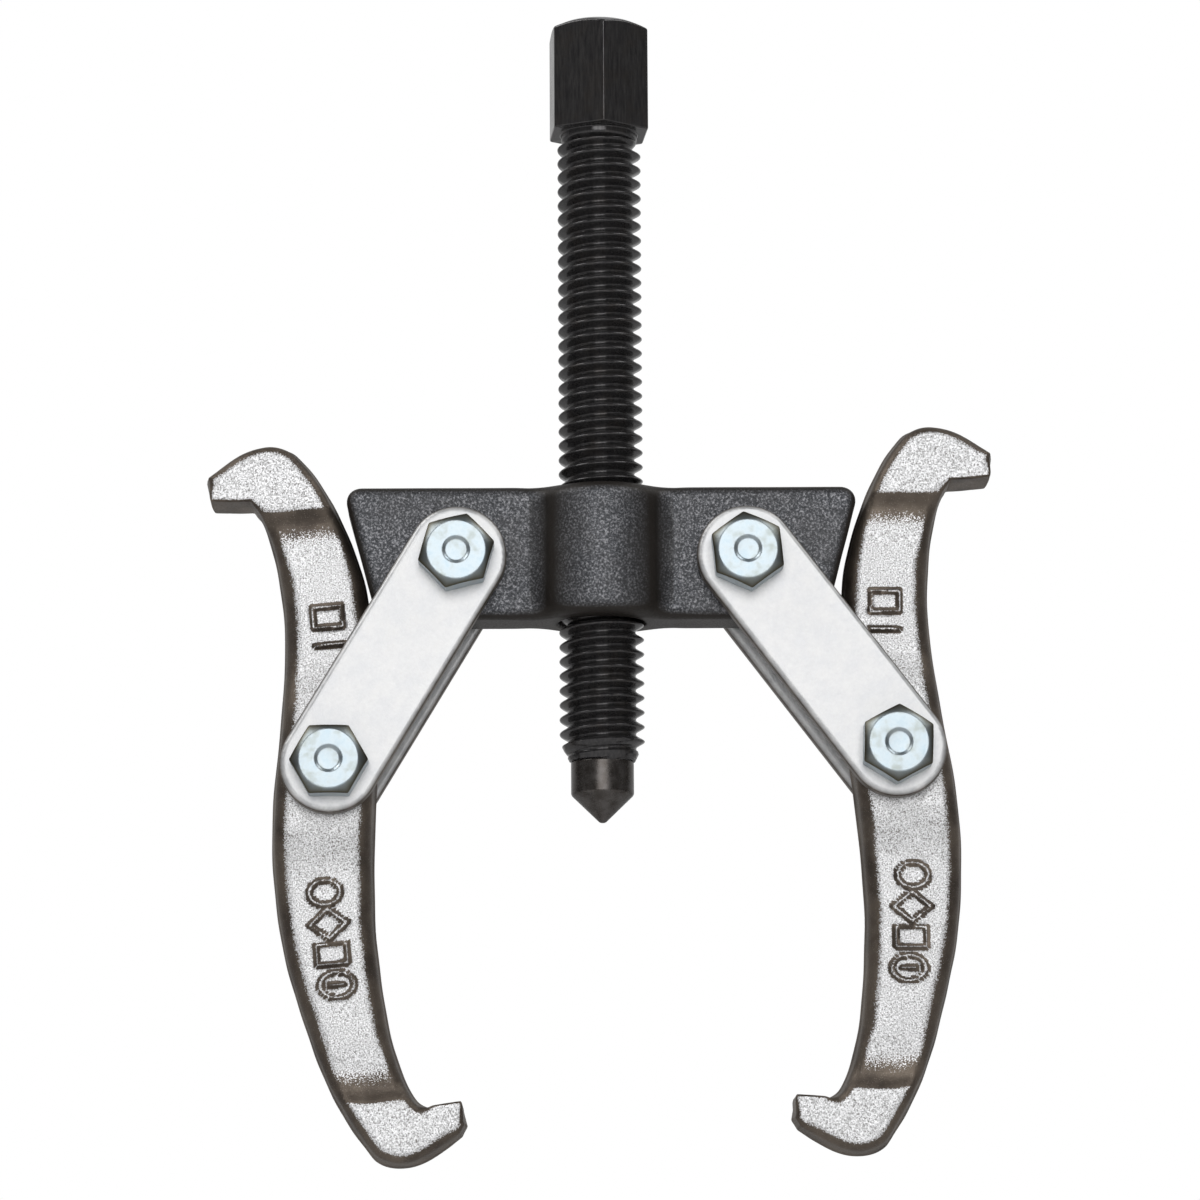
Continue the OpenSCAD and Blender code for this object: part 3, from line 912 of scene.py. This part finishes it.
CAMERA_AZIMUTH = -0.611                    # degrees; 0 looks along +Y
CAMERA_ELEVATION = -10.707                 # degrees; below 0 looks up
CAMERA_ROLL = -0.327                       # degrees
CAMERA_DISTANCE = 0.65587                  # metres
CAMERA_TARGET = Vector((-0.000213, 0, 0.032383))
LENS = 136.62                              # millimetres, on a sensor 36 wide
DOME_RADIUS = 6000
FLOOR_LEVEL = -320
FLOOR_RADIUS = 2500
FLOOR_THICKNESS = 20


def add_camera():
    """The camera, looking a little up at the puller's middle."""
    azimuth = math.radians(CAMERA_AZIMUTH)
    elevation = math.radians(CAMERA_ELEVATION)
    look = Vector((-math.sin(azimuth) * math.cos(elevation),
                   math.cos(azimuth) * math.cos(elevation), -math.sin(elevation)))
    data = bpy.data.cameras.new("camera")
    data.lens = LENS
    data.sensor_width = 36
    data.clip_start = 0.01
    data.clip_end = 20
    camera = bpy.data.objects.new("camera", data)
    bpy.context.scene.collection.objects.link(camera)
    turn = look.to_track_quat("-Z", "Y") @ Matrix.Rotation(
        math.radians(CAMERA_ROLL), 3, "Z").to_quaternion()
    camera.matrix_world = (Matrix.Translation(CAMERA_TARGET - look * CAMERA_DISTANCE)
                           @ turn.to_matrix().to_4x4())
    bpy.context.scene.camera = camera


def add_softbox(name, azimuth, elevation, distance, width, height, power):
    """A soft light that faces the puller's middle; azimuth 0 is the camera's side."""
    azimuth, elevation = math.radians(azimuth), math.radians(elevation)
    away = Vector((math.sin(azimuth) * math.cos(elevation),
                   -math.cos(azimuth) * math.cos(elevation), math.sin(elevation)))
    data = bpy.data.lights.new(name, "AREA")
    data.shape = "RECTANGLE"
    data.size = width
    data.size_y = height
    data.energy = power
    lamp = bpy.data.objects.new(name, data)
    lamp.location = CAMERA_TARGET + away * distance
    lamp.rotation_euler = away.to_track_quat("Z", "Y").to_euler()
    lamp.visible_camera = False
    bpy.context.scene.collection.objects.link(lamp)


def add_world():
    """A bright wall behind the puller, dimmer sides and a dim front."""
    world = bpy.data.worlds.new("studio")
    bpy.context.scene.world = world
    world.use_nodes = True
    nodes, links = world.node_tree.nodes, world.node_tree.links
    where = nodes.new("ShaderNodeTexCoord")
    axes = nodes.new("ShaderNodeSeparateXYZ")
    links.new(where.outputs["Generated"], axes.inputs["Vector"])
    spread = maths(nodes, links, "MULTIPLY_ADD", axes.outputs["Y"], 0.5, 0.5)
    level = ramp(nodes, links, spread, [(0.40, 0.10), (0.56, 0.16), (0.70, 0.5), (1.0, 0.6)])
    links.new(level, nodes["Background"].inputs["Color"])
    nodes["Background"].inputs["Strength"].default_value = 1.0


def glow_material(name, colour, strength):
    """A plain even glow, with no shading."""
    material = bpy.data.materials.new(name)
    material.use_nodes = True
    nodes, links = material.node_tree.nodes, material.node_tree.links
    nodes.remove(nodes["Principled BSDF"])
    glow = nodes.new("ShaderNodeEmission")
    glow.inputs["Color"].default_value = colour + (1,)
    glow.inputs["Strength"].default_value = strength
    links.new(glow.outputs["Emission"], nodes["Material Output"].inputs["Surface"])
    return material


def add_backdrop():
    """A white dome that only the camera sees, and a pale floor well below the puller."""
    angles = np.arange(0, 360, 7.5)
    levels = np.radians(np.linspace(-90, 90, 25))
    profile = [(DOME_RADIUS * math.cos(a), DOME_RADIUS * math.sin(a)) for a in levels[1:-1]]
    profile = [(0, -DOME_RADIUS)] + profile + [(0, DOME_RADIUS)]
    points, faces = revolve(profile, angles, 1)
    dome = as_object("backdrop", points, [face[::-1] for face in faces])
    dome.data.materials.append(glow_material("backdrop_white", (1, 1, 1), 1))
    for ray in ("diffuse", "glossy", "transmission", "volume_scatter", "shadow"):
        setattr(dome, f"visible_{ray}", False)
    underside = FLOOR_LEVEL - FLOOR_THICKNESS
    rim = [(0, underside), (FLOOR_RADIUS, underside), (FLOOR_RADIUS, FLOOR_LEVEL),
           (0, FLOOR_LEVEL)]
    points, faces = revolve(rim, angles, 5)
    floor = as_object("floor", points, faces)
    material, nodes, links, shader = new_material("floor_paper", 0.0, 0.2)
    paper = grain(nodes, links, 8, 3).outputs["Fac"]
    links.new(ramp(nodes, links, paper, [(0.3, 0.80), (0.7, 0.84)]), shader.inputs["Base Color"])
    shader.inputs["Roughness"].default_value = 0.9
    floor.data.materials.append(material)


# ---------------------------------------------------------------- the whole puller

add_camera()
add_world()
add_backdrop()
add_softbox("front", 0, 14, 1.6, 1.0, 1.1, 11)
add_softbox("upper_left", -70, 45, 1.6, 0.7, 0.7, 8)
add_softbox("upper_right", 70, 50, 1.6, 0.7, 0.7, 6)
bpy.context.scene.view_settings.view_transform = "Standard"

make_crossbar(black_forging())
make_screw(black_screw())
make_screw_point(screw_tip())
blasted = shot_blasted_steel()
plated_link = link_steel()
for side in SIDES:
    make_jaw(side, blasted)
    for face in (-1, 1):
        make_link(side, face, plated_link)
zinc = zinc_plate()
blue_nylon = nylon()
for pin in BOLT_TURN:
    make_bolt(pin, zinc)
    make_nut(pin, zinc)
    make_insert(pin, blue_nylon)
